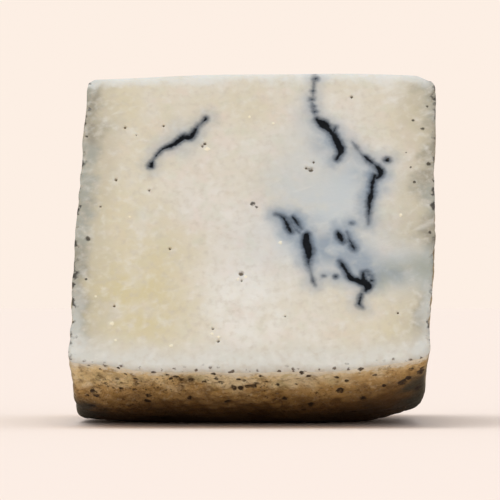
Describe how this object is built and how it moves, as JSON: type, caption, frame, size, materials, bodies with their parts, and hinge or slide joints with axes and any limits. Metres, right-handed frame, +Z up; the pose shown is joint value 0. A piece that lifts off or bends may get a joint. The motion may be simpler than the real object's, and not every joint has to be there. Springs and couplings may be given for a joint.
{
  "type": "truffle sheep cheese wedge",
  "caption": "Wedge of truffle-veined sheep's-milk cheese, cut from a small wheel and standing on its rind wall, with two flat cut faces that meet along the top.",
  "frame": {"origin": "on the resting spot, below the middle of the wedge", "axes": "+X along the wheel's axis, to the right as the front cut face is seen; +Y from the front cut face towards the back one; +Z up, from the resting spot to the edge where the cuts meet"},
  "size_m": [0.1009, 0.1105, 0.0967],
  "materials": {
    "sheep_cheese": "satin, slightly translucent cream paste with blue-black truffle veins; dry brown speckled rind outside"
  },
  "bodies": {
    "root": {"cheese_wedge": "sheep_cheese"}
  },
  "joints": []
}
